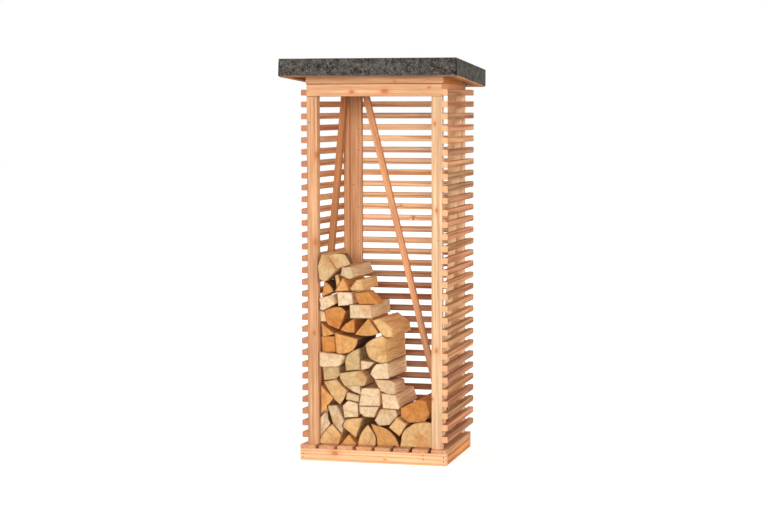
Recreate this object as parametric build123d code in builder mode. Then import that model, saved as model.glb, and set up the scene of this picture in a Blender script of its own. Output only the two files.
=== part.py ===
from build123d import *
from math import atan, cos, degrees, hypot, sin
import os

os.makedirs("parts", exist_ok=True)

# Millimetres. X runs across the front, the front faces -Y, Z is up from the ground.
base_width = 716
base_depth = 600
board_thick = 28
board_height = 57
front = -base_depth / 2
rear = base_depth / 2

# The store narrows towards the rear: each side comes in by this much for each millimetre of depth.
toe_in = 0.045
side_turn = degrees(atan(toe_in))

floor_thick = 18
floor_board_width = 74
floor_board_count = 8
floor_top = board_height + floor_thick

slat = 28
slat_pitch = 56
slat_count = 30
slat_ease = 3
lowest_slat = floor_top + 31
slat_stack_top = lowest_slat + slat_pitch * (slat_count - 1) + slat

wall_front = front + board_thick
wall_outer = base_width / 2 - slat
post_width = 50
post_depth = 45
stile_thick = 28
stile_width = 50
back_stile_width = 56
side_slat_tail = 42

rail_height = 26
rail_width = 50
rail_top = slat_stack_top + rail_height
header_height = 59
header_bottom = rail_top - header_height
header_back = wall_front + board_thick
firring_thick = 28
firring_outer = 334

roof_width = 858
roof_front = front - 92
roof_rear = rear + 32
roof_fall = 46
roof_board_drop = 13
roof_board_height = 68
roof_rafter_height = roof_board_height - roof_board_drop
roof_sheet_thick = 15
felt_thick = 3
felt_rise = 4
roof_depth = hypot(roof_rear - roof_front, roof_fall)
roof_angle = atan(roof_fall / (roof_rear - roof_front))

log_length = 330
log_front = -251
log_air = 1.2
log_recesses = (0, 9, 4, 14, 7, 2, 11)
bay_half = wall_outer - post_width - 5

ease = 2


# Plan corners of a piece that spans the store between two distances, squared to its narrowing sides.
def across(half, near, far, line=front):
    near_half = half - toe_in * (near - line)
    far_half = half - toe_in * (far - line)
    return (near_half, near), (far_half, far), (-far_half, far), (-near_half, near)


# Plan corners of a piece that runs back beside the right-hand side.
def beside(outer, inner, near, far, line=front):
    near_in = toe_in * (near - line)
    far_in = toe_in * (far - line)
    return (outer - near_in, near), (outer - far_in, far), (inner - far_in, far), (inner - near_in, near)


# The base frame: front and rear boards run past the ends of the side boards.
with BuildPart() as base_front_board:
    with BuildSketch(Plane.XY):
        with BuildLine():
            Polyline(*across(base_width / 2, front, wall_front), close=True)
        make_face()
    extrude(amount=board_height)
    chamfer(base_front_board.edges().filter_by(Axis.X), ease)

with BuildPart() as base_rear_board:
    with BuildSketch(Plane.XY):
        with BuildLine():
            Polyline(*across(base_width / 2, rear - board_thick, rear), close=True)
        make_face()
    extrude(amount=board_height)
    chamfer(base_rear_board.edges().filter_by(Axis.X), ease)

with BuildPart() as base_right_board:
    with BuildSketch(Plane.XY):
        with BuildLine():
            side = beside(base_width / 2, base_width / 2 - board_thick, wall_front, rear - board_thick)
            Polyline(*side, close=True)
        make_face()
    extrude(amount=board_height)
    chamfer(base_right_board.edges().group_by(SortBy.LENGTH)[-1], ease)

with BuildPart() as base_left_board:
    mirror(base_right_board.part, about=Plane.YZ)

with BuildPart() as base_middle_bearer:
    with BuildSketch(Plane.XY):
        with BuildLine():
            half = base_width / 2 - board_thick
            Polyline(*across(half, -board_thick / 2, board_thick / 2), close=True)
        make_face()
    extrude(amount=board_height)

# Eight floor boards lie front to back and fan in with the frame, with open gaps between them.
outer_board_middle = (base_width - floor_board_width - toe_in * base_depth) / 2
with BuildPart() as floor_boards:
    with BuildSketch(Plane.XY.offset(board_height)):
        for number in range(floor_board_count):
            share = 2 * number / (floor_board_count - 1) - 1
            with Locations(Location((share * outer_board_middle, 0, 0), (0, 0, share * side_turn))):
                Rectangle(floor_board_width, base_depth + 20)
        Rectangle(base_width, base_depth, mode=Mode.INTERSECT)
    extrude(amount=floor_thick)
    chamfer(floor_boards.faces().group_by(Axis.Z)[-1].edges().group_by(SortBy.LENGTH)[-1], ease)

# Posts and stiles stand on the floor and carry the slats on their outer faces. The front posts are
# notched at the top, so that the header lies in them flush with their fronts.
upright_height = slat_stack_top - floor_top
with BuildPart() as right_front_post:
    with BuildSketch(Plane.XY.offset(floor_top)):
        with BuildLine():
            post = beside(wall_outer, wall_outer - post_width, wall_front, wall_front + post_depth)
            Polyline(*post, close=True)
        make_face()
    extrude(amount=upright_height)
    chamfer(right_front_post.edges().filter_by(Axis.Z), ease)
    with BuildSketch(Plane.XY.offset(header_bottom)):
        with Locations((0, wall_front)):
            Rectangle(base_width, 2 * board_thick)
    extrude(amount=header_height, mode=Mode.SUBTRACT)

with BuildPart() as left_front_post:
    mirror(right_front_post.part, about=Plane.YZ)

with BuildPart() as right_rear_stile:
    with BuildSketch(Plane.XY.offset(floor_top)):
        with BuildLine():
            stile = beside(wall_outer, wall_outer - stile_thick, rear - stile_width, rear)
            Polyline(*stile, close=True)
        make_face()
    extrude(amount=upright_height)
    chamfer(right_rear_stile.edges().filter_by(Axis.Z), ease)

with BuildPart() as left_rear_stile:
    mirror(right_rear_stile.part, about=Plane.YZ)

stile_inner = wall_outer - stile_thick
with BuildPart() as back_right_stile:
    with BuildSketch(Plane.XY.offset(floor_top)):
        with BuildLine():
            stile = beside(stile_inner, stile_inner - back_stile_width, rear - stile_thick, rear)
            Polyline(*stile, close=True)
        make_face()
    extrude(amount=upright_height)
    chamfer(back_right_stile.edges().filter_by(Axis.Z), ease)

with BuildPart() as back_left_stile:
    mirror(back_right_stile.part, about=Plane.YZ)

# Thirty square slats a wall, nailed outside the posts at an even pitch.
slat_levels = [(0, 0, lowest_slat + slat_pitch * number) for number in range(slat_count)]
with BuildPart() as side_slat:
    with BuildSketch(Plane.XY):
        with BuildLine():
            side_slat_end = rear + slat + side_slat_tail
            Polyline(*beside(wall_outer + slat, wall_outer, wall_front, side_slat_end), close=True)
        make_face()
    extrude(amount=slat)
    chamfer(side_slat.edges().group_by(SortBy.LENGTH)[-1], slat_ease)

with BuildPart() as right_wall_slats:
    with Locations(*slat_levels):
        add(side_slat.part)

with BuildPart() as left_wall_slats:
    mirror(right_wall_slats.part, about=Plane.YZ)

with BuildPart() as back_slat:
    with BuildSketch(Plane.XY):
        with BuildLine():
            Polyline(*across(wall_outer, rear, rear + slat), close=True)
        make_face()
    extrude(amount=slat)
    chamfer(back_slat.edges().filter_by(Axis.X), slat_ease)

with BuildPart() as back_wall_slats:
    with Locations(*slat_levels):
        add(back_slat.part)

# The diagonal braces run corner to corner inside the walls and are cut off flush at the uprights.
brace_low = lowest_slat
brace_high = slat_stack_top - 2 * ease
brace_rise = brace_high - brace_low
side_brace_front = wall_front + post_depth
side_brace_rear = rear - stile_width
side_brace_run = side_brace_rear - side_brace_front
side_brace_width = slat * hypot(side_brace_run, brace_rise) / brace_rise
right_wall = Plane(origin=(wall_outer + toe_in * front, 0, 0), x_dir=(-toe_in, 1, 0), z_dir=(1, toe_in, 0))
with BuildPart() as right_brace:
    with BuildSketch(right_wall):
        with BuildLine():
            Polyline(
                (side_brace_front - 3, brace_low),
                (side_brace_front + side_brace_width, brace_low),
                (side_brace_rear + 3, brace_high),
                (side_brace_rear - side_brace_width, brace_high),
                close=True,
            )
        make_face()
    extrude(amount=-stile_thick)
    with BuildSketch(Plane.XY):
        with Locations((0, (side_brace_front + side_brace_rear) / 2)):
            Rectangle(base_width, side_brace_run)
    extrude(amount=rail_top, mode=Mode.INTERSECT)

with BuildPart() as left_brace:
    mirror(right_brace.part, about=Plane.YZ)

back_brace_half = stile_inner - back_stile_width - toe_in * base_depth
back_brace_width = slat * hypot(2 * back_brace_half, brace_rise) / brace_rise
with BuildPart() as back_brace:
    with BuildSketch(Plane.XZ.offset(-rear)):
        with BuildLine():
            Polyline(
                (back_brace_half, brace_low),
                (back_brace_half - back_brace_width, brace_low),
                (-back_brace_half, brace_high),
                (-back_brace_half + back_brace_width, brace_high),
                close=True,
            )
        make_face()
    extrude(amount=stile_thick)

# Rails on the posts, and the header between the walls in the posts' notches.
with BuildPart() as right_top_rail:
    with BuildSketch(Plane.XY.offset(slat_stack_top)):
        with BuildLine():
            Polyline(*beside(wall_outer, wall_outer - rail_width, header_back, rear), close=True)
        make_face()
    extrude(amount=rail_height)
    chamfer(right_top_rail.edges().group_by(SortBy.LENGTH)[-1], ease)

with BuildPart() as left_top_rail:
    mirror(right_top_rail.part, about=Plane.YZ)

with BuildPart() as header_board:
    with BuildSketch(Plane.XY.offset(header_bottom)):
        with BuildLine():
            Polyline(*across(wall_outer, wall_front, header_back), close=True)
        make_face()
    extrude(amount=header_height)
    chamfer(header_board.edges().filter_by(Axis.X), ease)

# The roof falls to the rear on its own plane: local x across, local y down the fall, local z out of it.
roof_under_front = rail_top + roof_fall
roof_plane = Plane(
    origin=(0, roof_front, roof_under_front),
    x_dir=(1, 0, 0),
    z_dir=(0, sin(roof_angle), cos(roof_angle)),
)

# Firrings and a front rail are cut off along the underside of the roof.
firring_rear = rear - 30
with BuildPart() as right_firring:
    with BuildSketch(Plane.XY.offset(rail_top)):
        with BuildLine():
            Polyline(*beside(firring_outer, firring_outer - firring_thick, header_back, firring_rear), close=True)
        make_face()
    extrude(amount=roof_fall)
    split(bisect_by=roof_plane, keep=Keep.BOTTOM)

with BuildPart() as left_firring:
    mirror(right_firring.part, about=Plane.YZ)

with BuildPart() as front_roof_rail:
    with BuildSketch(Plane.XY.offset(rail_top)):
        with BuildLine():
            Polyline(*across(firring_outer, wall_front, header_back), close=True)
        make_face()
    extrude(amount=roof_fall)
    split(bisect_by=roof_plane, keep=Keep.BOTTOM)

# A boxed frame carries the roof sheet. Its boards hang a little lower than the rafters inside it.
board_plane = roof_plane.offset(-roof_board_drop)
frame_half = roof_width / 2 - felt_thick
frame_front = felt_thick
frame_rear = roof_depth - felt_thick
sheet_top = roof_rafter_height + roof_sheet_thick

with BuildPart() as roof_front_board:
    with BuildSketch(board_plane):
        with BuildLine():
            Polyline(*across(frame_half, frame_front, frame_front + board_thick, 0), close=True)
        make_face()
    extrude(amount=roof_board_height)

with BuildPart() as roof_rear_board:
    with BuildSketch(board_plane):
        with BuildLine():
            Polyline(*across(frame_half, frame_rear - board_thick, frame_rear, 0), close=True)
        make_face()
    extrude(amount=roof_board_height)

inside_front = frame_front + board_thick
inside_rear = frame_rear - board_thick
with BuildPart() as roof_right_board:
    with BuildSketch(board_plane):
        with BuildLine():
            edge = beside(frame_half, frame_half - board_thick, inside_front, inside_rear, 0)
            Polyline(*edge, close=True)
        make_face()
    extrude(amount=roof_board_height)

with BuildPart() as roof_left_board:
    mirror(roof_right_board.part, about=Plane.YZ)

with BuildPart() as roof_rafters:
    with BuildSketch(roof_plane):
        with BuildLine():
            rafter_outer = firring_outer + toe_in * (front - roof_front)
            rafter = beside(rafter_outer, rafter_outer - firring_thick, inside_front, inside_rear, 0)
            Polyline(*rafter, close=True)
        make_face()
        mirror(about=Plane.YZ)
        with Locations((0, (inside_front + inside_rear) / 2)):
            Rectangle(firring_thick, inside_rear - inside_front)
    extrude(amount=roof_rafter_height)

with BuildPart() as roof_sheet:
    with BuildSketch(roof_plane.offset(roof_rafter_height)):
        with BuildLine():
            Polyline(*across(frame_half, frame_front, frame_rear, 0), close=True)
        make_face()
    extrude(amount=roof_sheet_thick)

# Mineral felt lies over the sheet and turns down all four edges, a little short of the boards' edges.
felt_plane = board_plane.offset(felt_rise)
felt_height = sheet_top + felt_thick + roof_board_drop - felt_rise
with BuildPart() as roof_felt:
    with BuildSketch(felt_plane):
        with BuildLine():
            Polyline(*across(roof_width / 2, 0, roof_depth, 0), close=True)
        make_face()
    extrude(amount=felt_height)
    fillet(roof_felt.faces().sort_by(Axis.Z)[-1].edges(), 6)
    with BuildSketch(felt_plane):
        with BuildLine():
            Polyline(*across(frame_half, frame_front, frame_rear, 0), close=True)
        make_face()
    extrude(amount=felt_height - felt_thick, mode=Mode.SUBTRACT)

# Split firewood, one row deep. Each log is the profile of its sawn end, corner by corner in millimetres
# across from the middle and up from the floor boards, run back the length of a log. A third number bows
# the side that follows out by that much, where it is bark.
log_ends = {
    "log_row_1": [
        [(-276, 0), (-275, 22, 6), (-215, 96), (-170, 47), (-181, 0)],
        [(-175, 0), (-136, 48), (-95, 0)],
        [(-88, 0), (-83, 32, 5), (-39, 100), (-21, 76, 4), (1, 29), (-2, 0)],
        [(5, 0), (2, 14), (-26, 103), (35, 87, 15), (112, 0)],
        [(119, 0), (124, 34, 11), (163, 97, 5), (211, 117, 5), (274, 117), (278, 60), (278, 0)],
    ],
    "log_row_2": [
        [(-277, 28), (-278, 74), (-278, 117, 5), (-238, 156), (-235, 121), (-222, 96)],
        [(-165, 83, 11), (-129, 124), (-67, 130), (-101, 31)],
        [(104, 139), (155, 109), (117, 49), (64, 90)],
    ],
    "log_row_3": [
        [(-240, 182), (-196, 186), (-156, 113), (-168, 48), (-214, 98)],
        [(-9, 134), (-58, 136), (-80, 156), (-82, 185), (16, 187)],
        [(22, 176), (96, 174), (104, 144), (65, 100), (12, 94), (-9, 119)],
        [(121, 183), (202, 225), (246, 223), (264, 161), (238, 119), (160, 116), (122, 142)],
    ],
    "log_row_4": [
        [(-271, 280), (-207, 221), (-238, 180), (-240, 160), (-270, 150)],
        [(-166, 184), (-139, 210), (-89, 198), (-88, 132), (-157, 127)],
        [(-68, 273), (21, 274), (21, 190), (-82, 188)],
        [(26, 251), (96, 245), (117, 188), (111, 176), (33, 179)],
    ],
    "log_row_5": [
        [(-257, 297), (-195, 310), (-142, 257), (-154, 221), (-175, 190), (-209, 216)],
        [(-149, 277), (-81, 283), (-72, 238), (-120, 256)],
        [(-144, 250), (-81, 236), (-84, 205), (-147, 215)],
        [(-5, 314), (70, 315), (99, 300), (97, 248), (59, 249), (24, 262)],
    ],
    "log_row_6": [
        [(-264, 366), (-186, 370), (-180, 331), (-196, 311), (-257, 303)],
        [(-178, 340), (-76, 356), (-41, 318), (-54, 284), (-152, 279), (-176, 318)],
        [(-17, 366), (3, 389), (59, 396), (65, 320), (-4, 316), (-28, 340)],
    ],
    "log_row_7": [
        [(-274, 440), (-160, 431), (-153, 418), (-170, 378, 3), (-218, 369, 3), (-278, 372)],
        [(-156, 398, 3), (-138, 433, 3), (-82, 461), (-78, 357), (-150, 350)],
        [(-76, 404), (-6, 397), (-33, 367), (-74, 356)],
        [(-50, 480, 2), (-26, 501, 2), (30, 526), (55, 510), (60, 398), (30, 394, 4), (-30, 416, 4)],
    ],
    "log_row_8": [
        [(-271, 512), (-204, 515), (-198, 441), (-264, 438)],
        [(-201, 532), (-87, 505, 8), (-120, 444, 4), (-191, 434)],
        [(-107, 603), (-105, 535, 5), (-176, 546), (-150, 576)],
        [(-36, 605), (16, 534, 10), (-102, 528)],
        [(-18, 595), (17, 605), (78, 562), (83, 518), (36, 515)],
    ],
    "log_row_9": [
        [(-270, 578), (-205, 526), (-262, 510)],
        [(-248, 638, 5), (-178, 656, 4), (-146, 634), (-180, 549), (-236, 570, 3)],
        [(-276, 634), (-253, 630), (-244, 585), (-274, 584)],
        [(-126, 668), (-22, 670), (-18, 606), (-124, 604)],
    ],
    "log_row_10": [
        [(-274, 694), (-208, 717), (-192, 671), (-259, 636)],
        [(-190, 727), (-119, 726), (-109, 668), (-184, 660)],
        [(-106, 723), (-33, 735), (24, 675), (-80, 671)],
    ],
    "log_row_11": [
        [(-253, 777, 7), (-207, 728), (-269, 699)],
        [(-160, 799), (-128, 734), (-202, 728)],
        [(-203, 806), (-186, 812), (-176, 775), (-194, 744)],
        [(-124, 747), (-94, 787), (-64, 791), (-58, 737), (-118, 734)],
    ],
    "log_row_12": [
        [(-240, 776), (-264, 790), (-272, 849), (-251, 911), (-233, 903), (-182, 832), (-222, 787)],
        [(-173, 806), (-165, 845), (-121, 849), (-103, 797), (-128, 788)],
        [(-233, 897), (-200, 909, 2), (-146, 909, 2), (-116, 861), (-159, 845), (-192, 835)],
    ],
}

# Logs that stand forward of the others or back from them, and those that were cut short.
uneven_logs = {
    "log_row_5": {3: (3, 160)},
    "log_row_7": {0: (-11, 330)},
    "log_row_10": {0: (-14, 330), 2: (0, 80)},
    "log_row_11": {3: (2, 255)},
    "log_row_12": {0: (-39, 340), 2: (-17, 60)},
}


def split_end(corners):
    with BuildSketch() as end:
        with BuildLine():
            for (x, z, *bow), (next_x, next_z, *_) in zip(corners, corners[1:] + corners[:1]):
                if bow:
                    side = hypot(next_x - x, next_z - z)
                    out = bow[0] / side
                    middle = (x + next_x) / 2 - (next_z - z) * out, (z + next_z) / 2 + (next_x - x) * out
                    ThreePointArc((x, z), middle, (next_x, next_z))
                else:
                    Line((x, z), (next_x, next_z))
        make_face()
        Rectangle(2 * bay_half, 2 * slat_stack_top, mode=Mode.INTERSECT)
        if stacked:
            add(stacked, mode=Mode.SUBTRACT)
    return end.sketch.faces().sort_by(SortBy.AREA)[-1]


# Every log is cut clear of those stacked before it, so that none runs into its neighbour.
stacked = []
log_rows = {}
for row_name, ends in log_ends.items():
    with BuildPart() as log_row:
        for number, corners in enumerate(ends):
            end = split_end(corners)
            recess = log_recesses[len(stacked) % len(log_recesses)]
            usual = (recess, log_length - recess / 2)
            set_back, length = uneven_logs.get(row_name, {}).get(number, usual)
            with BuildSketch(Plane.XZ.offset(-log_front - set_back)):
                with Locations((0, floor_top)):
                    add(end)
            extrude(amount=-length)
            stacked.append(offset(end, amount=log_air, mode=Mode.PRIVATE))
    log_rows[row_name] = log_row

pieces = {
    "base_front_board": base_front_board,
    "base_rear_board": base_rear_board,
    "base_left_board": base_left_board,
    "base_right_board": base_right_board,
    "base_middle_bearer": base_middle_bearer,
    "floor_boards": floor_boards,
    "left_front_post": left_front_post,
    "right_front_post": right_front_post,
    "left_rear_stile": left_rear_stile,
    "right_rear_stile": right_rear_stile,
    "back_left_stile": back_left_stile,
    "back_right_stile": back_right_stile,
    "left_wall_slats": left_wall_slats,
    "right_wall_slats": right_wall_slats,
    "back_wall_slats": back_wall_slats,
    "left_brace": left_brace,
    "right_brace": right_brace,
    "back_brace": back_brace,
    "left_top_rail": left_top_rail,
    "right_top_rail": right_top_rail,
    "header_board": header_board,
    "left_firring": left_firring,
    "right_firring": right_firring,
    "front_roof_rail": front_roof_rail,
    "roof_front_board": roof_front_board,
    "roof_rear_board": roof_rear_board,
    "roof_left_board": roof_left_board,
    "roof_right_board": roof_right_board,
    "roof_rafters": roof_rafters,
    "roof_sheet": roof_sheet,
    "roof_felt": roof_felt,
    **log_rows,
}

for label, piece in pieces.items():
    piece.part.label = label
    export_step(piece.part, f"parts/{label}.step")
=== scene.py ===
import bmesh
import bpy
import math
import random
from mathutils import Matrix, Vector, noise


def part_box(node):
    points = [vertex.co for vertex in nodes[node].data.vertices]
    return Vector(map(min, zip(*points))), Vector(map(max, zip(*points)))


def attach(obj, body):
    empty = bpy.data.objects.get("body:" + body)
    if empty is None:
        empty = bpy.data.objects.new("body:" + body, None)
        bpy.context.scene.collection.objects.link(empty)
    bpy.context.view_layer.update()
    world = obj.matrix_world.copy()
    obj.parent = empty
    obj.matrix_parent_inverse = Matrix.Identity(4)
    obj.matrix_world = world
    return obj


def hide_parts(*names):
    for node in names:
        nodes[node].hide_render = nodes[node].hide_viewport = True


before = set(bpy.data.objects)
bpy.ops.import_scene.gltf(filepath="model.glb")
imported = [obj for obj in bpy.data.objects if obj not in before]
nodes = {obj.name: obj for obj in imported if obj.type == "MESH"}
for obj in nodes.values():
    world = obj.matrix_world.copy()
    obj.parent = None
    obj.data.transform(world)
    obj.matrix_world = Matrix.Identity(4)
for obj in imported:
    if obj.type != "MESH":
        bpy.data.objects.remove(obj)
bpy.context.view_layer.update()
print("frame loaded,", len(nodes), "timber, felt and firewood nodes")

# The store narrows towards the rear, and its roof falls the same way, both in metres for each metre back.
storeSettings = {
    "front": -0.3,
    "halfAtFront": 0.358,
    "taper": 0.045,
    "fall": 0.0635,
    "slatPitch": 0.056,
    "slats": 30,
}


def halfWidth(depth):  # from the middle to the outside of the slats
    return storeSettings["halfAtFront"] - storeSettings["taper"] * (depth - storeSettings["front"])


# Camera at the photograph's place, looking a little down so that the whole store sits in the frame.
cameraSettings = {
    "place": (2.77027, -9.90456, 1.70446),
    "turn": 15.774,
    "down": 4.1465,
    "roll": 0.105,
    "lens": 100.305,
    "farthest": 200,
}
cameraData = bpy.data.cameras.new("photoCamera")
cameraData.sensor_width = 36
cameraData.lens = cameraSettings["lens"]
cameraData.clip_end = cameraSettings["farthest"]
photoCamera = bpy.data.objects.new("photoCamera", cameraData)
bpy.context.scene.collection.objects.link(photoCamera)
photoCamera.matrix_world = (
    Matrix.Translation(cameraSettings["place"])
    @ Matrix.Rotation(math.radians(cameraSettings["turn"]), 4, "Z")
    @ Matrix.Rotation(math.radians(90 - cameraSettings["down"]), 4, "X")
    @ Matrix.Rotation(math.radians(-cameraSettings["roll"]), 4, "Z")
)
bpy.context.scene.camera = photoCamera
bpy.context.scene.view_settings.view_transform = "Standard"

# Soft studio light: an even sky, a broad level lamp in front, weaker ones at the side and behind.
lightSettings = {
    "sky": 0.62,
    "lamps": {  # strength, where the light comes from, spread in degrees
        "keyLamp": (2.5, (0.22, -1.0, 0.06), 24),
        "sideLamp": (1.5, (1.0, -0.3, 0.1), 50),
        "rearLamp": (1.0, (-0.8, 0.8, 0.3), 50),
    },
}
for lampName, (strength, comesFrom, spread) in lightSettings["lamps"].items():
    lamp = bpy.data.lights.new(lampName, "SUN")
    lamp.energy = strength
    lamp.angle = math.radians(spread)
    lampObject = bpy.data.objects.new(lampName, lamp)
    lampObject.rotation_mode = "QUATERNION"
    lampObject.rotation_quaternion = Vector(comesFrom).to_track_quat("Z", "Y")
    bpy.context.scene.collection.objects.link(lampObject)


# A node's inputs are given as values, or as the outputs of other nodes to join to them.
def addNode(tree, kind, values=None, **choices):
    node = tree.nodes.new(kind)
    for key, value in choices.items():
        setattr(node, key, value)
    for key, value in (values or {}).items():
        if isinstance(value, bpy.types.NodeSocket):
            tree.links.new(value, node.inputs[key])
        else:
            node.inputs[key].default_value = value
    return node


def calc(tree, operation, *terms):
    return addNode(tree, "ShaderNodeMath", dict(enumerate(terms)), operation=operation).outputs[0]


def vectorCalc(tree, operation, *terms):
    sums = addNode(tree, "ShaderNodeVectorMath", dict(enumerate(terms)), operation=operation)
    return sums.outputs["Value" if operation in ("LENGTH", "DOT_PRODUCT") else "Vector"]


def remap(tree, value, start=0.0, end=1.0, low=0.0, high=1.0, smooth=False):
    levels = {"Value": value, "From Min": start, "From Max": end, "To Min": low, "To Max": high}
    shape = "SMOOTHSTEP" if smooth else "LINEAR"
    return addNode(tree, "ShaderNodeMapRange", levels, interpolation_type=shape).outputs[0]


def blend(tree, share, first, second, mode="MIX"):
    sides = {0: share, 6: first, 7: second}
    return addNode(tree, "ShaderNodeMix", sides, data_type="RGBA", blend_type=mode).outputs[2]


def cloudy(tree, vector, scale, detail, roughness=0.5):
    levels = {"Vector": vector, "Scale": scale, "Detail": detail, "Roughness": roughness}
    return addNode(tree, "ShaderNodeTexNoise", levels).outputs


def apart(tree, vector):
    return addNode(tree, "ShaderNodeSeparateXYZ", {0: vector}).outputs


def diceColour(tree, number):  # a random colour that goes with a number
    return addNode(tree, "ShaderNodeTexWhiteNoise", {"W": number}, noise_dimensions="1D").outputs["Color"]


def readLayer(tree, name, output="Fac"):
    return addNode(tree, "ShaderNodeAttribute", attribute_name=name).outputs[output]


def paint(red, green, blue):  # a colour as it is picked off a screen, made linear
    def linear(level):
        level = level / 255
        return level / 12.92 if level <= 0.04045 else ((level + 0.055) / 1.055) ** 2.4

    return linear(red), linear(green), linear(blue), 1.0


def shadeOf(tone, red, green, blue):  # a screen colour made lighter or darker, channel by channel
    return paint(*(min(level * share, 255) for level, share in zip(tone, (red, green, blue))))


def newFinish(name, shine):
    finish = bpy.data.materials.new(name)
    finish.use_nodes = True
    shader = finish.node_tree.nodes["Principled BSDF"]
    shader.inputs["Specular IOR Level"].default_value = shine
    return finish, finish.node_tree, shader


def fillShader(tree, shader, colour, roughness, height=None, strength=0.5, distance=0.001):
    tree.links.new(colour, shader.inputs["Base Color"])
    tree.links.new(roughness, shader.inputs["Roughness"])
    if height is not None:
        levels = {"Strength": strength, "Distance": distance, "Height": height}
        tree.links.new(addNode(tree, "ShaderNodeBump", levels).outputs[0], shader.inputs["Normal"])


# White studio: the camera sees plain white past the object, and the sky still lights it evenly.
world = bpy.data.worlds.new("studio")
bpy.context.scene.world = world
world.use_nodes = True
sky = world.node_tree
skyLight = sky.nodes["Background"]
skyLight.inputs["Color"].default_value = (1, 1, 1, 1)
skyRays = addNode(sky, "ShaderNodeLightPath").outputs
skySeen = calc(sky, "MAXIMUM", skyRays["Is Camera Ray"], skyRays["Is Glossy Ray"])
skySeen = calc(sky, "MAXIMUM", skySeen, skyRays["Is Transmission Ray"])
sky.links.new(remap(sky, skySeen, low=lightSettings["sky"]), skyLight.inputs["Strength"])

floorSettings = {"reach": 40, "lift": 0.5, "colour": (0.86, 0.86, 0.86, 1)}
floorMesh = bpy.data.meshes.new("studioFloor")
floorBuild = bmesh.new()
bmesh.ops.create_grid(floorBuild, x_segments=1, y_segments=1, size=floorSettings["reach"])
floorBuild.to_mesh(floorMesh)
floorBuild.free()
studioFloor = bpy.data.objects.new("studioFloor", floorMesh)
bpy.context.scene.collection.objects.link(studioFloor)
floorFinish = bpy.data.materials.new("studioWhite")
floorFinish.use_nodes = True
floorTree = floorFinish.node_tree
floorTree.nodes.clear()
floorRays = addNode(floorTree, "ShaderNodeLightPath").outputs
floorLift = calc(floorTree, "MULTIPLY", floorRays["Is Camera Ray"], floorSettings["lift"])
floorMatt = addNode(floorTree, "ShaderNodeBsdfDiffuse", {"Color": floorSettings["colour"]})
floorGlow = addNode(floorTree, "ShaderNodeEmission", {"Strength": floorLift})
floorSum = addNode(floorTree, "ShaderNodeAddShader", {0: floorMatt.outputs[0], 1: floorGlow.outputs[0]})
addNode(floorTree, "ShaderNodeOutputMaterial", {"Surface": floorSum.outputs[0]})
floorMesh.materials.append(floorFinish)
print("camera, lamps and white studio ready")


# A new node group: each input has its usual level, or None for a vector, and every output is a number.
def newGroup(name, inputs, outputs):
    group = bpy.data.node_groups.new(name, "ShaderNodeTree")
    for socketName, level in inputs.items():
        kind = "NodeSocketVector" if level is None else "NodeSocketFloat"
        socket = group.interface.new_socket(socketName, in_out="INPUT", socket_type=kind)
        if level is not None:
            socket.default_value = level
    for socketName in outputs:
        group.interface.new_socket(socketName, in_out="OUTPUT", socket_type="NodeSocketFloat")
    return group, addNode(group, "NodeGroupInput").outputs


# One length of softwood: growth rings about a pith line of its own, fine fibres, broad stains, knots.
softwoodSettings = {
    "wander": 0.006,  # how far a ring strays from round
    "pithAside": 0.07,  # how far the pith may lie off a piece, across and up
    "pithAbove": 0.075,
    "rings": 0.34,  # shares of the grain
    "streaks": 0.75,
    "fibres": 0.22,
    "knotCells": (4.2, 13.0, 13.0),  # places for a knot in each metre, along and across
    "knotShape": (0.72, 1.0, 0.25),
    "knotPush": 0.0015,
    "lateWood": ((0.12, 0.05), (0.55, 0.22), (0.86, 0.95)),  # how each ring darkens outwards
}


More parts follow.
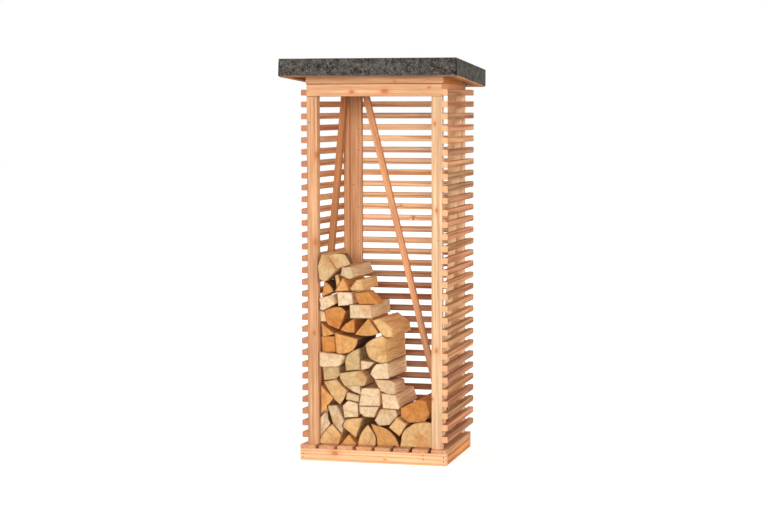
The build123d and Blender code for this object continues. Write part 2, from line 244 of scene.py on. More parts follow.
def buildSoftwood():
    group, given = newGroup(
        "softwood",
        {"Along Grain": None, "Piece": 0.0, "Ring Spacing": 0.004, "Knot Size": 0.007, "Knot Share": 0.3},
        ("Grain", "Stain", "Knot", "Height"),
    )
    pieceDice = diceColour(group, given["Piece"])
    pieceShift = vectorCalc(group, "MULTIPLY", pieceDice, (31.0, 17.0, 23.0))
    shifted = vectorCalc(group, "ADD", given["Along Grain"], pieceShift)

    def grainCloud(along, across, detail, roughness=0.5):
        spread = vectorCalc(group, "MULTIPLY", shifted, (along, across, across))
        return cloudy(group, spread, 1.0, detail, roughness)

    fibres = grainCloud(14, 900, 2)[0]
    streaks = grainCloud(2.6, 110, 3, 0.6)[0]

    # Knots: a few cells along the length hold one, drawn round in true size.
    knotCells = softwoodSettings["knotCells"]
    cellSpace = vectorCalc(group, "MULTIPLY", shifted, knotCells)
    cells = addNode(
        group, "ShaderNodeTexVoronoi", {"Vector": cellSpace, "Scale": 1.0, "Randomness": 0.85}
    ).outputs
    fromHeart = vectorCalc(group, "SUBTRACT", cellSpace, cells["Position"])
    trueSize = vectorCalc(group, "MULTIPLY", fromHeart, tuple(1 / share for share in knotCells))
    knotReach = vectorCalc(
        group, "LENGTH", vectorCalc(group, "MULTIPLY", trueSize, softwoodSettings["knotShape"])
    )
    cellPick = addNode(group, "ShaderNodeSeparateColor", {0: cells["Color"]}).outputs[0]
    present = calc(group, "LESS_THAN", cellPick, given["Knot Share"])
    coreStart = calc(group, "MULTIPLY", given["Knot Size"], 0.55)
    haloEnd = calc(group, "MULTIPLY", given["Knot Size"], 2.6)
    core = remap(group, knotReach, coreStart, given["Knot Size"], 1.0, 0.0, smooth=True)
    halo = remap(group, knotReach, 0.0, haloEnd, 1.0, 0.0, smooth=True)
    knot = calc(group, "MULTIPLY", core, present)
    knotHalo = calc(group, "MULTIPLY", halo, present)

    # Growth rings bend round the knots and lie about a pith that wanders off each piece.
    point = apart(group, given["Along Grain"])
    pithPick = addNode(group, "ShaderNodeSeparateColor", {0: pieceDice}).outputs
    offPith = []
    for way, pick, reach in (("Y", 0, "pithAside"), ("Z", 1, "pithAbove")):
        reach = softwoodSettings[reach]
        pithLine = remap(group, pithPick[pick], low=-reach, high=reach)
        offPith.append(calc(group, "SUBTRACT", point[way], pithLine))
    flatSpot = addNode(group, "ShaderNodeCombineXYZ", {"Y": offPith[0], "Z": offPith[1]}).outputs[0]
    wander = vectorCalc(group, "SUBTRACT", grainCloud(1.3, 14, 2)["Color"], (0.5, 0.5, 0.5))
    stray = softwoodSettings["wander"]
    bent = vectorCalc(group, "ADD", flatSpot, vectorCalc(group, "MULTIPLY", wander, (0.0, stray, stray)))
    pushed = calc(
        group, "MULTIPLY_ADD", knotHalo, softwoodSettings["knotPush"], vectorCalc(group, "LENGTH", bent)
    )
    ringPart = calc(group, "FRACT", calc(group, "DIVIDE", pushed, given["Ring Spacing"]))
    ringCurve = addNode(group, "ShaderNodeFloatCurve", {"Value": ringPart})
    curve = ringCurve.mapping.curves[0]
    curve.points[0].location = (0.0, 0.35)
    curve.points[1].location = (1.0, 0.3)
    for spot in softwoodSettings["lateWood"]:
        curve.points.new(*spot)
    ringCurve.mapping.update()
    lateWood = ringCurve.outputs[0]

    # Rings, streaks and fibres add up to one grain value, and to a height for the bump.
    grain = calc(group, "MULTIPLY", lateWood, softwoodSettings["rings"])
    grain = calc(group, "MULTIPLY_ADD", streaks, softwoodSettings["streaks"], grain)
    grain = calc(group, "MULTIPLY_ADD", fibres, softwoodSettings["fibres"], grain)
    height = calc(group, "MULTIPLY_ADD", fibres, 0.5, calc(group, "MULTIPLY", lateWood, 0.5))
    stain = grainCloud(3.0, 18, 3)[0]
    addNode(group, "NodeGroupOutput", {"Grain": grain, "Stain": stain, "Knot": knot, "Height": height})
    return group


# Which of a set of like pieces a point lies on, counted up from the first at an even pitch.
def buildPieceCounter():
    group, given = newGroup("pieceCounter", {"Level": 0.0, "First": 0.0, "Pitch": 0.0}, ("Number", "Within"))
    above = calc(group, "SUBTRACT", given["Level"], given["First"])
    share = calc(group, "DIVIDE", above, given["Pitch"])
    number = calc(group, "FLOOR", calc(group, "ADD", share, 0.1))
    within = calc(group, "SUBTRACT", above, calc(group, "MULTIPLY", number, given["Pitch"]))
    addNode(group, "NodeGroupOutput", {"Number": number, "Within": within})
    return group


# A branch that ran through a board: a dark core in a warm ring, stretched a little along the grain.
def buildBranchKnot():
    group, given = newGroup(
        "branchKnot", {"Point": None, "Heart": None, "Stretch": None, "Size": 0.0}, ("Core", "Ring")
    )
    ragged = calc(group, "MULTIPLY_ADD", cloudy(group, given["Point"], 140, 2)[0], 0.006, -0.003)
    away = vectorCalc(group, "SUBTRACT", given["Point"], given["Heart"])
    reach = vectorCalc(group, "LENGTH", vectorCalc(group, "MULTIPLY", away, given["Stretch"]))
    reach = calc(group, "ADD", reach, ragged)
    coreStart = calc(group, "MULTIPLY", given["Size"], 0.45)
    ringEnd = calc(group, "MULTIPLY", given["Size"], 2.4)
    core = remap(group, reach, coreStart, given["Size"], 1.0, 0.0, smooth=True)
    ring = remap(group, reach, 0.0, ringEnd, 1.0, 0.0, smooth=True)
    addNode(group, "NodeGroupOutput", {"Core": core, "Ring": ring})
    return group


softwood = buildSoftwood()
pieceCounter = buildPieceCounter()
branchKnot = buildBranchKnot()

firSettings = {
    "shine": 0.22,
    "light": (0.07, 0.12, 0.2),  # how far the early wood rises above a tone, channel by channel
    "dark": (0.2, 0.3, 0.38),  # and how far the late wood falls below it
    "grainRange": (0.32, 0.86),
    "stainRange": (0.3, 0.72, 1.1, 0.86),
    "hueRange": (0.49, 0.506),
    # painted shade along the joints: how far from a joint it reaches, and how strong it is
    "shadeLineRange": (0.0006, 0.004, 0.85, 0.0),
    "endRange": (0.8, 0.95, 0.0, 0.75),
    "roughRange": (0.58, 0.76),
    "knotTone": (178, 104, 60),
    # the colour of the painted shade along the joints
    "shadeLineTone": (150, 92, 60),
    "ringedTone": (0.88, 0.7, 0.58),
    "branchShares": (0.6, 0.62),  # how far a branch's ring and core cover the board
    "branchStretch": {"X": (0.6, 0.0, 1.0), "Z": (1.0, 0.0, 0.6)},
}
firTones = {
    "bleached": (252, 208, 158),
    "cream": (248, 194, 144),
    "peach": (250, 180, 126),
    "sand": (240, 180, 126),
    "honey": (222, 165, 114),
    "amber": (230, 155, 90),
    "tan": (206, 145, 92),
    "copper": (250, 150, 72),
    "umber": (160, 110, 78),
}


# Planed fir for one node. runs says which way its grain runs, lean how the piece itself slopes, steps how
# its like pieces repeat, low how it darkens near the ground, the joint heights where a line of painted shade
# marks the groove to the next piece, and branches where the photograph shows a knot: across, up and its size.
def timberFinish(
    name, runs, tone, seed, lean=None, steps=None, mixing=0.2, endTone=None,
    ring=0.0045, knots=0.25, depth=1.0, low=None, joints=(), branches=(),
):
    tone = firTones[tone]
    finish, tree, shader = newFinish(name, firSettings["shine"])
    place = addNode(tree, "ShaderNodeTexCoord").outputs
    level = apart(tree, place["Object"])

    # Which of its like pieces a point is on, each with a grain of its own.
    piece, within = seed, None
    if steps:
        position = level[steps["axis"]]
        if steps.get("fan"):  # pieces that close up towards the rear
            narrowing = calc(tree, "MULTIPLY_ADD", level["Y"], -steps["fan"], steps["half"])
            position = calc(tree, "DIVIDE", position, narrowing)
        places = {"Level": position, "First": steps["first"], "Pitch": steps["pitch"]}
        counter = addNode(tree, "ShaderNodeGroup", places, node_tree=pieceCounter).outputs
        piece = calc(tree, "MULTIPLY_ADD", counter["Number"], 1.37, seed)
        within = None if steps.get("fan") else counter["Within"]

    # The grain's own axes follow the piece.
    lengthwise = Vector(lean or {"X": (1, 0, 0), "Y": (0, 1, 0), "Z": (0, 0, 1)}[runs]).normalized()
    upward = Vector((0, 1, 0)) if runs == "Z" else Vector((0, 0, 1))
    sideways = upward.cross(lengthwise).normalized()
    axes = {
        number: vectorCalc(tree, "DOT_PRODUCT", place["Object"], tuple(way))
        for number, way in enumerate((lengthwise, sideways, lengthwise.cross(sideways)))
        if number < 2 or within is None
    }
    axes.setdefault(2, within)
    along = addNode(tree, "ShaderNodeCombineXYZ", axes).outputs[0]
    levels = {"Along Grain": along, "Piece": piece, "Ring Spacing": ring, "Knot Share": knots}
    wood = addNode(tree, "ShaderNodeGroup", levels, node_tree=softwood).outputs

    lightTone = shadeOf(tone, *(1 + share * depth for share in firSettings["light"]))
    darkTone = shadeOf(tone, *(1 - share * depth for share in firSettings["dark"]))
    colour = blend(tree, remap(tree, wood["Grain"], *firSettings["grainRange"]), lightTone, darkTone)
    stain = remap(tree, wood["Stain"], *firSettings["stainRange"])
    colour = addNode(tree, "ShaderNodeVectorMath", {0: colour, "Scale": stain}, operation="SCALE").outputs[0]
    colour = blend(tree, wood["Knot"], colour, paint(*firSettings["knotTone"]))
    if steps:  # like pieces differ from one to the next
        turn = addNode(tree, "ShaderNodeSeparateColor", {0: diceColour(tree, piece)}).outputs
        hueLow, hueHigh = firSettings["hueRange"]
        changes = {
            "Value": remap(tree, turn[1], low=1 - mixing, high=1 + mixing * 0.6),
            "Hue": remap(tree, turn[2], low=hueLow, high=hueHigh),
            "Color": colour,
        }
        colour = addNode(tree, "ShaderNodeHueSaturation", changes).outputs[0]
    if low:  # the colour darkens towards the bottom
        lowShare = remap(tree, level["Z"], low["from"], low["to"], low["share"], 0.0, smooth=True)
        colour = blend(tree, lowShare, colour, paint(*low["tone"]), "MULTIPLY")
    # Painted shade: a dark line at each joint height, standing for the shadow in the groove where one piece
    # meets the next.
    for height in joints:
        fromShadeLine = calc(tree, "ABSOLUTE", calc(tree, "SUBTRACT", level["Z"], height))
        shadeLineShare = remap(tree, fromShadeLine, *firSettings["shadeLineRange"])
        colour = blend(tree, shadeLineShare, colour, paint(*firSettings["shadeLineTone"]), "MULTIPLY")
    if endTone:  # sawn ends take another tone than the planed faces
        facing = calc(tree, "ABSOLUTE", apart(tree, place["Normal"])[runs])
        colour = blend(tree, remap(tree, facing, *firSettings["endRange"]), colour, paint(*endTone))
    for across, up, size in branches:
        shape = {
            "Point": place["Object"],
            "Heart": (across, 0, up),
            "Stretch": firSettings["branchStretch"][runs],
            "Size": size,
        }
        branch = addNode(tree, "ShaderNodeGroup", shape, node_tree=branchKnot).outputs
        ringCover, coreCover = firSettings["branchShares"]
        ringShare = calc(tree, "MULTIPLY", branch["Ring"], ringCover)
        coreShare = calc(tree, "MULTIPLY", branch["Core"], coreCover)
        colour = blend(tree, ringShare, colour, shadeOf(tone, *firSettings["ringedTone"]))
        colour = blend(tree, coreShare, colour, paint(*firSettings["knotTone"]))
    smooth, rough = firSettings["roughRange"]
    roughness = remap(tree, wood["Grain"], low=smooth, high=rough)
    fillShader(tree, shader, colour, roughness, wood["Height"], strength=0.4, distance=0.0006)
    return finish


def cornerToCorner(nodeName, *ways):  # how a brace slopes, from its box
    low, high = (Vector(corner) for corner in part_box(nodeName))
    return tuple(reach * way for reach, way in zip(high - low, ways))


leftLean = (storeSettings["taper"], 1, 0)
rightLean = (-storeSettings["taper"], 1, 0)
roofLean = (0, 1, -storeSettings["fall"])
roofLeftLean = (storeSettings["taper"], 1, -storeSettings["fall"])
roofRightLean = (-storeSettings["taper"], 1, -storeSettings["fall"])
slatSteps = {"axis": "Z", "first": 0.106, "pitch": storeSettings["slatPitch"]}
boardSteps = {"axis": "X", "first": -8 / 7, "pitch": 2 / 7, "fan": storeSettings["taper"], "half": 0.3075}
headerBottom, headerTop = (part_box("header_board")[end][2] for end in (0, 1))
# The back slats darken towards the bottom: fully below the first height, fading out by the second.
lowerDarkening = {"from": 0.72, "to": 1.12, "tone": (160, 110, 80), "share": 0.75}
timberPieces = {
    "base_front_board": dict(
        runs="X", tone="cream", depth=0.6, seed=1.7, branches=[(-0.186, 0.04, 0.013), (0.06, 0.02, 0.004)]
    ),
    "base_rear_board": dict(runs="X", tone="sand", seed=2.3, knots=0.4),
    "base_left_board": dict(runs="Y", lean=leftLean, tone="honey", seed=3.7, knots=0.4),
    "base_right_board": dict(runs="Y", lean=rightLean, tone="amber", seed=4.9),
    "base_middle_bearer": dict(runs="X", tone="tan", seed=5.2),
    "floor_boards": dict(runs="Y", tone="honey", seed=6.4, steps=boardSteps, mixing=0.15),
    "left_front_post": dict(
        runs="Z", tone="honey", depth=1.4, seed=7.6, knots=0.1,
        branches=[(-0.282, 1.451, 0.012), (-0.288, 1.038, 0.012), (-0.295, 0.606, 0.008)],
    ),
    "right_front_post": dict(
        runs="Z", tone="cream", depth=1.4, seed=8.8, knots=0.1,
        branches=[(0.295, 1.598, 0.009), (0.304, 1.195, 0.01), (0.303, 0.539, 0.01), (0.282, 0.311, 0.007)],
    ),
    "left_rear_stile": dict(runs="Z", tone="honey", seed=9.1),
    "right_rear_stile": dict(runs="Z", tone="bleached", depth=0.4, seed=10.3),
    "back_left_stile": dict(runs="Z", tone="honey", depth=1.4, seed=11.5),
    "back_right_stile": dict(runs="Z", tone="bleached", depth=0.4, seed=12.7),
    "left_wall_slats": dict(
        runs="Y", lean=leftLean, tone="sand", seed=13.9, steps=slatSteps, mixing=0.18, endTone=(176, 112, 84)
    ),
    "right_wall_slats": dict(
        runs="Y", lean=rightLean, tone="tan", seed=14.2, steps=slatSteps, mixing=0.26, depth=1.15,
        endTone=(240, 186, 140),
    ),
    "back_wall_slats": dict(runs="X", tone="cream", seed=15.4, steps=slatSteps, mixing=0.16, low=lowerDarkening),
    "left_brace": dict(runs="Z", lean=cornerToCorner("left_brace", -1, 1, 1), tone="tan", seed=16.6),
    "right_brace": dict(
        runs="Z", lean=cornerToCorner("right_brace", 1, 1, 1), tone="bleached", depth=0.4, seed=17.8
    ),
    "back_brace": dict(runs="Z", lean=cornerToCorner("back_brace", -1, 0, 1), tone="peach", seed=18.1),
    "left_top_rail": dict(runs="Y", lean=leftLean, tone="sand", seed=19.3),
    "right_top_rail": dict(runs="Y", lean=rightLean, tone="peach", depth=0.4, seed=20.5),
    # The header's top and bottom edges get lines of painted shade.
    "header_board": dict(
        runs="X", tone="peach", depth=1.4, seed=21.7, knots=0.1, joints=(headerBottom, headerTop),
        branches=[(-0.106, 1.747, 0.01), (0.053, 1.75, 0.014), (0.268, 1.766, 0.006)],
    ),
    "left_firring": dict(runs="Y", lean=leftLean, tone="sand", seed=22.9),
    "right_firring": dict(runs="Y", lean=rightLean, tone="copper", seed=23.2),
    # A line of painted shade runs along the rail's bottom edge, where it meets the header.
    "front_roof_rail": dict(
        runs="X", tone="peach", depth=1.4, seed=24.4, joints=(headerTop,), branches=[(0.102, 1.795, 0.005)]
    ),
    "roof_front_board": dict(runs="X", tone="umber", seed=25.6),
    "roof_rear_board": dict(runs="X", tone="honey", seed=26.8),
    "roof_left_board": dict(runs="Y", lean=roofLeftLean, tone="tan", seed=27.1),
    "roof_right_board": dict(runs="Y", lean=roofRightLean, tone="tan", seed=28.3),
    "roof_rafters": dict(runs="Y", lean=roofLean, tone="honey", seed=29.5),
    "roof_sheet": dict(runs="X", tone="tan", seed=30.7, ring=0.012),
}
for nodeName, look in timberPieces.items():
    nodes[nodeName].data.materials.clear()
    nodes[nodeName].data.materials.append(timberFinish("fir_" + nodeName, **look))
print("planed fir laid on", len(timberPieces), "nodes")


def mergedCopy(nodeName):  # a node's loose triangles as one clean shell, the node left as it is
    build = bmesh.new()
    build.from_mesh(nodes[nodeName].data)
    bmesh.ops.remove_doubles(build, verts=build.verts, dist=0.00002)
    bmesh.ops.dissolve_limit(build, angle_limit=math.radians(1), verts=build.verts, edges=build.edges)
    bmesh.ops.recalc_face_normals(build, faces=build.faces)
    return build


def cutAcross(build, spot, way):
    everything = build.verts[:] + build.edges[:] + build.faces[:]
    bmesh.ops.bisect_plane(build, geom=everything, plane_co=spot, plane_no=way)


def newPiece(name, build, finish):
    mesh = bpy.data.meshes.new(name)
    build.to_mesh(mesh)
    build.free()
    mesh.materials.append(finish)
    piece = bpy.data.objects.new(name, mesh)
    bpy.context.scene.collection.objects.link(piece)
    return piece


# Mineral felt: dark bitumen under grit, wrapped over the edges and lapped round each corner.
feltSettings = {
    "shine": 0.2,
    "base": (80, 75, 69),
    "shade": (28, 26, 24),
    "grit": (142, 134, 123),
    "seam": (24, 20, 18),
    "blotScale": 34,
    "blotRange": (0.42, 0.58),
    "gritScale": 150,
    "gritRange": (0.52, 0.72),
    "grainScale": 260,
    "skin": 0.0006,  # within this of the outside counts as outside
    "topIn": 0.0012,  # the turned-down sides lean in by this towards the top
    "sag": 0.0012,
    "roundOver": 0.003,
    "ragged": 0.0025,
    "fold": 0.062,  # width of the lap round each corner
    "lap": 0.001,
    "wave": 0.0006,
    "seamWide": 0.0046,
    "edgeCuts": (0.004, 0.007),  # how far in from the edges and corners it can bend
    "sideCuts": (0.05,),
    "dropCuts": (0.004, 0.02, 0.045, 0.066),
    "across": 0.062,
    "back": 0.08,
}
feltFinish, feltTree, feltShader = newFinish("mineralFelt", feltSettings["shine"])
feltPoint = addNode(feltTree, "ShaderNodeTexCoord").outputs["Object"]
feltBlots = cloudy(feltTree, feltPoint, feltSettings["blotScale"], 7, 0.75)[0]
feltGrit = cloudy(feltTree, feltPoint, feltSettings["gritScale"], 4, 0.75)[0]
feltGrains = addNode(
    feltTree, "ShaderNodeTexVoronoi", {"Vector": feltPoint, "Scale": feltSettings["grainScale"]}
).outputs["Distance"]
feltDark = remap(feltTree, feltBlots, *feltSettings["blotRange"])
feltPale = remap(feltTree, feltGrit, *feltSettings["gritRange"])
feltColour = blend(feltTree, feltDark, paint(*feltSettings["base"]), paint(*feltSettings["shade"]))
feltColour = blend(feltTree, feltPale, feltColour, paint(*feltSettings["grit"]))
feltColour = blend(feltTree, readLayer(feltTree, "feltSeam"), feltColour, paint(*feltSettings["seam"]))
feltRough = remap(feltTree, feltGrit, low=0.8, high=0.98)
fillShader(feltTree, feltShader, feltColour, feltRough, feltGrains, strength=0.6, distance=0.001)


def wrapFelt():
    build = mergedCopy("roof_felt")
    low, high = (Vector(corner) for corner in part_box("roof_felt"))
    taper, fall = storeSettings["taper"], storeSettings["fall"]
    fold = feltSettings["fold"]
    for side in (-1, 1):
        for inward in feltSettings["edgeCuts"] + feltSettings["sideCuts"]:
            cutAcross(build, (side * (high.x - inward), low.y, 0), (side, taper, 0))
    for number in range(-6, 7):
        cutAcross(build, (number * feltSettings["across"], 0, 0), (1, 0, 0))
    for inward in feltSettings["edgeCuts"] + (fold - 0.001, fold + 0.001):
        cutAcross(build, (0, low.y + inward, 0), (0, 1, 0))
        cutAcross(build, (0, high.y - inward, 0), (0, 1, 0))
    for number in range(1, 10):
        cutAcross(build, (0, low.y + feltSettings["back"] * number, 0), (0, 1, 0))
    for drop in feltSettings["dropCuts"]:
        cutAcross(build, (0, low.y, high.z - drop), (0, fall, 1))

    seam = build.verts.layers.float.new("feltSeam")
    for vert in build.verts:
        place = vert.co
        depth = place.y - low.y
        drop = high.z - fall * depth - place.z
        edgeX = high.x - taper * depth - abs(place.x)
        edgeY = min(depth, high.y - place.y)
        outerSide, outerEnd = edgeX < feltSettings["skin"], edgeY < feltSettings["skin"]
        vert[seam] = 1.0 if max(edgeX, edgeY) < feltSettings["seamWide"] else 0.0
        ripple = noise.noise(place * 11) + 0.5 * noise.noise(place * 29)
        lean = feltSettings["topIn"] * max(0.0, 1 - drop / 0.06) ** 2
        swell = feltSettings["wave"] * (0.5 + 0.5 * ripple)
        move = Vector()
        if outerSide:
            lap = 0.0 if edgeY < fold else feltSettings["lap"]
            move.x = -math.copysign(lean + (swell if not outerEnd else 0.0) + lap, place.x)
        if outerEnd:
            inward = 1 if depth < 0.1 else -1
            move.y = inward * (lean + (swell if not outerSide else 0.0))
        if drop < 0.001:  # the top sinks a little between its edges, and its edges are rounded over
            sag = feltSettings["sag"] * (0.5 + 0.5 * ripple)
            move.z = -(feltSettings["roundOver"] if outerSide or outerEnd else sag)
        if drop > 0.05:  # the bottom edge is cut unevenly
            move.z = feltSettings["ragged"] * max(0.0, ripple + 0.3)
        vert.co = place + move
    bmesh.ops.recalc_face_normals(build, faces=build.faces)
    piece = newPiece("wrapped_felt", build, feltFinish)
    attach(piece, "root")
    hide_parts("roof_felt")
    return len(piece.data.polygons)


print("roof felt wrapped,", wrapFelt(), "faces")

# Round nail heads, slightly domed, one wherever a slat crosses a post or stile, and where the photograph
# shows one: the depth of the face, then how far across and up.
nailSettings = {
    "radius": 0.0031,
    "proud": 0.0006,
    "sunk": 0.001,
    "sides": 10,
    "seed": 5,
    "firstSlat": 0.12,
    "postDepths": (-0.249, 0.274),
    "backFace": 0.328,
    "steel": (124, 118, 112),
    "rust": (92, 66, 50),
    "single": {
        -0.272: ((-0.317, 1.604), (0.311, 1.055)),
        -0.3: (
            (-0.344, 0.033), (-0.344, 0.018), (0.245, 0.046), (0.247, 0.029), (0.344, 0.04), (0.344, 0.02),
        ),
        0.272: ((-0.234, 1.569), (-0.233, 1.461), (-0.259, 1.29), (-0.234, 1.18), (-0.234, 1.011)),
    },
}


def addNail(build, spot, facing):
    turn = Vector(facing).normalized().to_track_quat("Z", "Y").to_matrix().to_4x4()
    sunk, proud, radius = nailSettings["sunk"], nailSettings["proud"], nailSettings["radius"]
    place = Matrix.Translation(spot) @ turn @ Matrix.Translation((0, 0, -sunk))
    ring = bmesh.ops.create_circle(
        build, cap_ends=True, segments=nailSettings["sides"], radius=radius, matrix=place
    )
    base = ring["verts"][0].link_faces[0]
    lifted = bmesh.ops.extrude_face_region(build, geom=[base])["geom"]
    top = next(item for item in lifted if isinstance(item, bmesh.types.BMFace))
    outward = turn.to_3x3() @ Vector((0, 0, 1))
    bmesh.ops.translate(build, verts=top.verts[:], vec=outward * (sunk + proud * 0.5))
    bmesh.ops.inset_individual(build, faces=[top], thickness=radius * 0.35, depth=proud * 0.5)


nailBuild = bmesh.new()
nailDice = random.Random(nailSettings["seed"])
stileMiddles = [
    sum(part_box("back_" + side + "_stile")[end][0] for end in (0, 1)) / 2 for side in ("left", "right")
]
for number in range(storeSettings["slats"]):
    level = nailSettings["firstSlat"] + storeSettings["slatPitch"] * number
    for side in (-1, 1):
        for depth in nailSettings["postDepths"]:
            depth += nailDice.uniform(-0.006, 0.006)
            spot = (side * halfWidth(depth), depth, level + nailDice.uniform(-0.004, 0.004))
            addNail(nailBuild, spot, (side, storeSettings["taper"], 0))
    for middle in stileMiddles:
        across = middle + nailDice.uniform(-0.008, 0.008)
        spot = (across, nailSettings["backFace"], level + nailDice.uniform(-0.004, 0.004))
        addNail(nailBuild, spot, (0, 1, 0))
for depth, places in nailSettings["single"].items():
    for across, up in places:
        addNail(nailBuild, (across, depth, up), (0, -1, 0))
bmesh.ops.recalc_face_normals(nailBuild, faces=nailBuild.faces)
nailFinish, nailTree, nailShader = newFinish("nailSteel", 0.5)
nailShader.inputs["Metallic"].default_value = 0.7
nailPoint = addNode(nailTree, "ShaderNodeTexCoord").outputs["Object"]
nailRust = remap(nailTree, cloudy(nailTree, nailPoint, 420, 4)[0], 0.42, 0.62)
nailColour = blend(nailTree, nailRust, paint(*nailSettings["steel"]), paint(*nailSettings["rust"]))
fillShader(nailTree, nailShader, nailColour, remap(nailTree, nailRust, low=0.4, high=0.75))
nailHeads = newPiece("nail_heads", nailBuild, nailFinish)
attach(nailHeads, "root")
print("nails driven,", len(nailHeads.data.polygons), "faces")

# Firewood: each log keeps its CAD shape, gets worn arrises and riven sides, and its own tone.
logSettings = {
    "arris": 0.0022,
    "arrisAngle": 0.6,
    "rim": 0.004,  # width of the dark edge round an end
    "endArea": 0.0003,
    "slices": 14,
    "crossCut": 0.03,  # longest edge left whole across a side
    "riven": 0.0038,
    "seed": 11,
    "shades": (0.88, 1.0),
    "barkPith": (0.05, 0.07),  # how far the pith lies behind a round side
    "splitPith": (0.05, 0.12),  # and from the middle of a log with none
    "heartwood": (0.0, 0.2, 0.4, 0.7),
}
logTones = {
    "cream": (238, 208, 166),
    "pale": (246, 220, 186),
    "pink": (232, 198, 156),
    "grey": (222, 194, 154),
    "straw": (218, 184, 134),
    "tan": (232, 188, 130),
    "amber": (222, 164, 98),
    "orange": (210, 142, 76),
}
rowTones = {  # left to right
    "log_row_1": "tan amber tan amber tan",
    "log_row_2": "cream tan tan",
    "log_row_3": "grey cream grey orange",
    "log_row_4": "amber cream cream cream",
    "log_row_5": "tan pink cream pink",
    "log_row_6": "straw straw cream",
    "log_row_7": "cream straw cream tan",
    "log_row_8": "orange orange amber amber tan",
    "log_row_9": "cream amber orange cream",
    "log_row_10": "cream pale orange",
    "log_row_11": "amber tan amber tan",
    "log_row_12": "straw straw grey",
}


def splitIslands(build):  # the separate logs of a row
    left = set(build.verts)
    islands = []
    while left:
        start = min(left, key=lambda v: v.index)
        found, queue = {start}, [start]
        while queue:
            for edge in queue.pop().link_edges:
                for vert in edge.verts:
                    if vert not in found:
                        found.add(vert)
                        queue.append(vert)
        islands.append(found)
        left -= found
    return islands


def isSide(face):
    return abs(face.normal.y) < 0.5


def isRound(face):  # a side that turns a little into the next one, as under bark
    return isSide(face) and any(
        other is not face and isSide(other) and 0.02 < face.normal.angle(other.normal, 9) < 0.5
        for edge in face.edges
        for other in edge.link_faces
    )


def markLog(island, middle, shade, dice, layers):  # what the finish reads off each point of a log
    level = dice.uniform(*logSettings["shades"])
    barkFaces = {face for vert in island for face in vert.link_faces if isRound(face)}
    barkSide = sum((face.normal for face in barkFaces), Vector())
    if barkFaces and barkSide.length > 0.1:
        heart = middle - barkSide.normalized() * dice.uniform(*logSettings["barkPith"])
    else:
        turn = dice.uniform(0, math.tau)
        heart = middle + Vector((math.cos(turn), 0, math.sin(turn))) * dice.uniform(*logSettings["splitPith"])
    heartwood = dice.choice(logSettings["heartwood"])
    for vert in island:
        onBark = any(face in barkFaces for face in vert.link_faces)
        onSplit = any(isSide(face) and face not in barkFaces for face in vert.link_faces)
        vert[layers["logTone"]] = (shade[0] * level, shade[1] * level, shade[2] * level, 1)
        vert[layers["logHeart"]] = heartwood
        vert[layers["logRim"]] = 1.0
        vert[layers["logPith"]] = heart
        vert[layers["logBark"]] = 1.0 if onBark and not onSplit else 0.0


def rivenMove(vert, pith):  # how far a point on a side is torn in or out
    if abs(vert.normal.y) > 0.5:
        return Vector()
    spot = Vector((vert.co.x * 42, vert.co.y * 9, vert.co.z * 42)) + vert[pith] * 50
    depth = noise.noise(spot) - 0.55 + 0.45 * noise.noise(spot * 2.7)
    return Vector((vert.normal.x, 0, vert.normal.z)) * min(depth, 0.2) * logSettings["riven"]


def dressLogs(rowName):
    build = mergedCopy(rowName)
    build.verts.index_update()
    kinds = build.verts.layers
    layers = {"logTone": kinds.float_color.new("logTone"), "logPith": kinds.float_vector.new("logPith")}
    layers.update((name, kinds.float.new(name)) for name in ("logBark", "logHeart", "logRim"))
    names = rowTones[rowName].split()
    dice = random.Random(rowName + str(logSettings["seed"]))
    logs = [(sum((v.co for v in island), Vector()) / len(island), island) for island in splitIslands(build)]
    for number, (middle, island) in enumerate(sorted(logs, key=lambda log: log[0].x)):
        shade = paint(*logTones[names[min(number, len(names) - 1)]])
        markLog(island, middle, shade, dice, layers)
    arrises = [
        edge for edge in build.edges if edge.is_manifold and edge.calc_face_angle(0) > logSettings["arrisAngle"]
    ]
    bmesh.ops.bevel(
        build, geom=arrises, offset=logSettings["arris"], offset_type="OFFSET", segments=2, profile=0.5,
        affect="EDGES", clamp_overlap=True, material=-1,
    )
    ends = [
        face for face in build.faces if abs(face.normal.y) > 0.95 and face.calc_area() > logSettings["endArea"]
    ]
    bmesh.ops.inset_individual(
        build, faces=ends, thickness=logSettings["rim"], use_even_offset=True, use_interpolate=True
    )
    for vert in {vert for face in ends if face.is_valid for vert in face.verts}:
        vert[layers["logRim"]] = 0.0
    low = min(vert.co.y for vert in build.verts)
    high = max(vert.co.y for vert in build.verts)
    for number in range(1, logSettings["slices"]):
        cutAcross(build, (0, low + (high - low) * number / logSettings["slices"], 0), (0, 1, 0))
    across = [
        edge for edge in build.edges
        if edge.calc_length() > logSettings["crossCut"]
        and abs(edge.verts[0].co.y - edge.verts[1].co.y) < 0.0001
    ]
    bmesh.ops.subdivide_edges(build, edges=across, cuts=3, use_grid_fill=True)
    bmesh.ops.triangulate(build, faces=[face for face in build.faces if len(face.verts) > 4])
    build.normal_update()
    moves = [rivenMove(vert, layers["logPith"]) for vert in build.verts]
    for vert, move in zip(build.verts, moves):
        vert.co += move
    piece = newPiece("split_" + rowName, build, logFinish)
    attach(piece, "root")
    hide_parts(rowName)
    return len(piece.data.polygons)


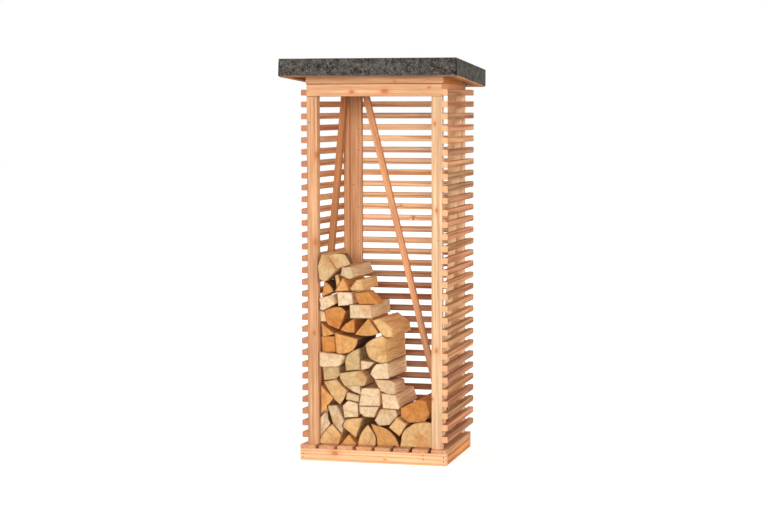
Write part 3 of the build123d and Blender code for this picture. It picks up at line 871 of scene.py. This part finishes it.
# A log's sawn ends show rings, heartwood, checks and a dark rim, and its sides show torn fibres or bark; the
# fibres lie over the log's tone lifted as painted light, since less light falls on the sides.
logLooks = {
    "shine": 0.2,
    "rings": (214, 168, 120),
    "ringSpacing": 0.0042,
    "ringWander": 0.012,
    "ringShare": 0.3,
    "heart": (240, 204, 168),
    "heartWander": 0.05,
    "heartRange": (0.045, 0.075, 0.85, 0.0),
    "check": (176, 130, 92),
    "checkTurn": 900,
    "checkRange": (0.0, 0.014, 0.28, 0.0),
    "rim": (196, 152, 112),
    "rimShare": 0.6,
    "sawnRange": (0.3, 0.7, 0.7, 1.16),
    "fibre": (222, 184, 146),
    "fibreStretch": (6, 160, 160),
    "fibreRange": (0.42, 0.68),
    "bark": (150, 104, 70),
    "barkDeep": (92, 62, 44),
    # painted light: how much brighter the sides are than the log's tone
    "sideLightLift": 1.2,
    "endRange": (0.75, 0.92),
}
logFinish, logTree, logShader = newFinish("splitLog", logLooks["shine"])
logPlace = addNode(logTree, "ShaderNodeTexCoord").outputs
logPoint = logPlace["Object"]
logTone = readLayer(logTree, "logTone", "Color")
logPith = readLayer(logTree, "logPith", "Vector")
logFrom = apart(logTree, vectorCalc(logTree, "SUBTRACT", logPoint, logPith))
logAxes = {0: logFrom["Y"], 1: logFrom["X"], 2: logFrom["Z"]}
logAlong = addNode(logTree, "ShaderNodeCombineXYZ", logAxes).outputs[0]
logFibres = vectorCalc(logTree, "MULTIPLY", logAlong, logLooks["fibreStretch"])
logFibres = cloudy(logTree, logFibres, 1.0, 5, 0.65)[0]
logSawn = cloudy(logTree, logPoint, 55, 6, 0.7)[0]

logFlat = addNode(logTree, "ShaderNodeCombineXYZ", {"X": logFrom["X"], "Z": logFrom["Z"]}).outputs[0]
logReach = vectorCalc(logTree, "LENGTH", logFlat)
logRing = calc(logTree, "MULTIPLY", cloudy(logTree, logPoint, 30, 2)[0], logLooks["ringWander"])
logRing = calc(logTree, "ADD", logReach, logRing)
logRing = calc(logTree, "MULTIPLY", logRing, 1 / logLooks["ringSpacing"])
logRing = remap(logTree, calc(logTree, "FRACT", logRing), 0.5, 0.95, smooth=True)
logRing = calc(logTree, "MULTIPLY", logRing, logLooks["ringShare"])
logEnd = blend(logTree, logRing, logTone, paint(*logLooks["rings"]), "MULTIPLY")

logHeart = cloudy(logTree, logPoint, 28, 3)[0]
logHeart = calc(logTree, "MULTIPLY_ADD", logHeart, logLooks["heartWander"], logReach)
logHeart = remap(logTree, logHeart, *logLooks["heartRange"], smooth=True)
logHeart = calc(logTree, "MULTIPLY", logHeart, readLayer(logTree, "logHeart"))
logEnd = blend(logTree, logHeart, logEnd, paint(*logLooks["heart"]), "MULTIPLY")

logTurn = calc(logTree, "ARCTAN2", logFrom["X"], logFrom["Z"])
logTurn = calc(logTree, "MULTIPLY_ADD", apart(logTree, logPith)["X"], logLooks["checkTurn"], logTurn)
logCheck = addNode(
    logTree, "ShaderNodeTexNoise", {"W": logTurn, "Scale": 1.3, "Detail": 1}, noise_dimensions="1D"
).outputs[0]
logCheck = calc(logTree, "ABSOLUTE", calc(logTree, "SUBTRACT", logCheck, 0.5))
logCheck = remap(logTree, logCheck, *logLooks["checkRange"], smooth=True)
logEnd = blend(logTree, logCheck, logEnd, paint(*logLooks["check"]), "MULTIPLY")
logRim = calc(logTree, "MULTIPLY", readLayer(logTree, "logRim"), logLooks["rimShare"])
logEnd = blend(logTree, logRim, logEnd, paint(*logLooks["rim"]), "MULTIPLY")
logSawnLevel = remap(logTree, logSawn, *logLooks["sawnRange"])
logEnd = addNode(logTree, "ShaderNodeHueSaturation", {"Value": logSawnLevel, "Color": logEnd}).outputs[0]

# Painted light: the sides take the log's tone made brighter, to make up for the weaker light that reaches them.
logSideLift = {"Value": logLooks["sideLightLift"], "Color": logTone}
logSide = addNode(logTree, "ShaderNodeHueSaturation", logSideLift).outputs[0]
logFibreLevel = remap(logTree, logFibres, *logLooks["fibreRange"])
logSide = blend(logTree, logFibreLevel, logSide, paint(*logLooks["fibre"]), "MULTIPLY")
logBark = cloudy(logTree, logPoint, 90, 6, 0.7)[0]
logBark = blend(logTree, logBark, paint(*logLooks["bark"]), paint(*logLooks["barkDeep"]))
logSide = blend(logTree, readLayer(logTree, "logBark"), logSide, logBark)

logFacing = calc(logTree, "ABSOLUTE", apart(logTree, logPlace["Normal"])["Y"])
logFacing = remap(logTree, logFacing, *logLooks["endRange"])
logColour = blend(logTree, logFacing, logSide, logEnd)
logRough = remap(logTree, logFibres, low=0.7, high=0.95)
logHeight = calc(logTree, "ADD", logFibres, logSawn)
fillShader(logTree, logShader, logColour, logRough, logHeight, strength=0.6, distance=0.0015)
print("firewood dressed,", sum(dressLogs(rowName) for rowName in rowTones), "faces")
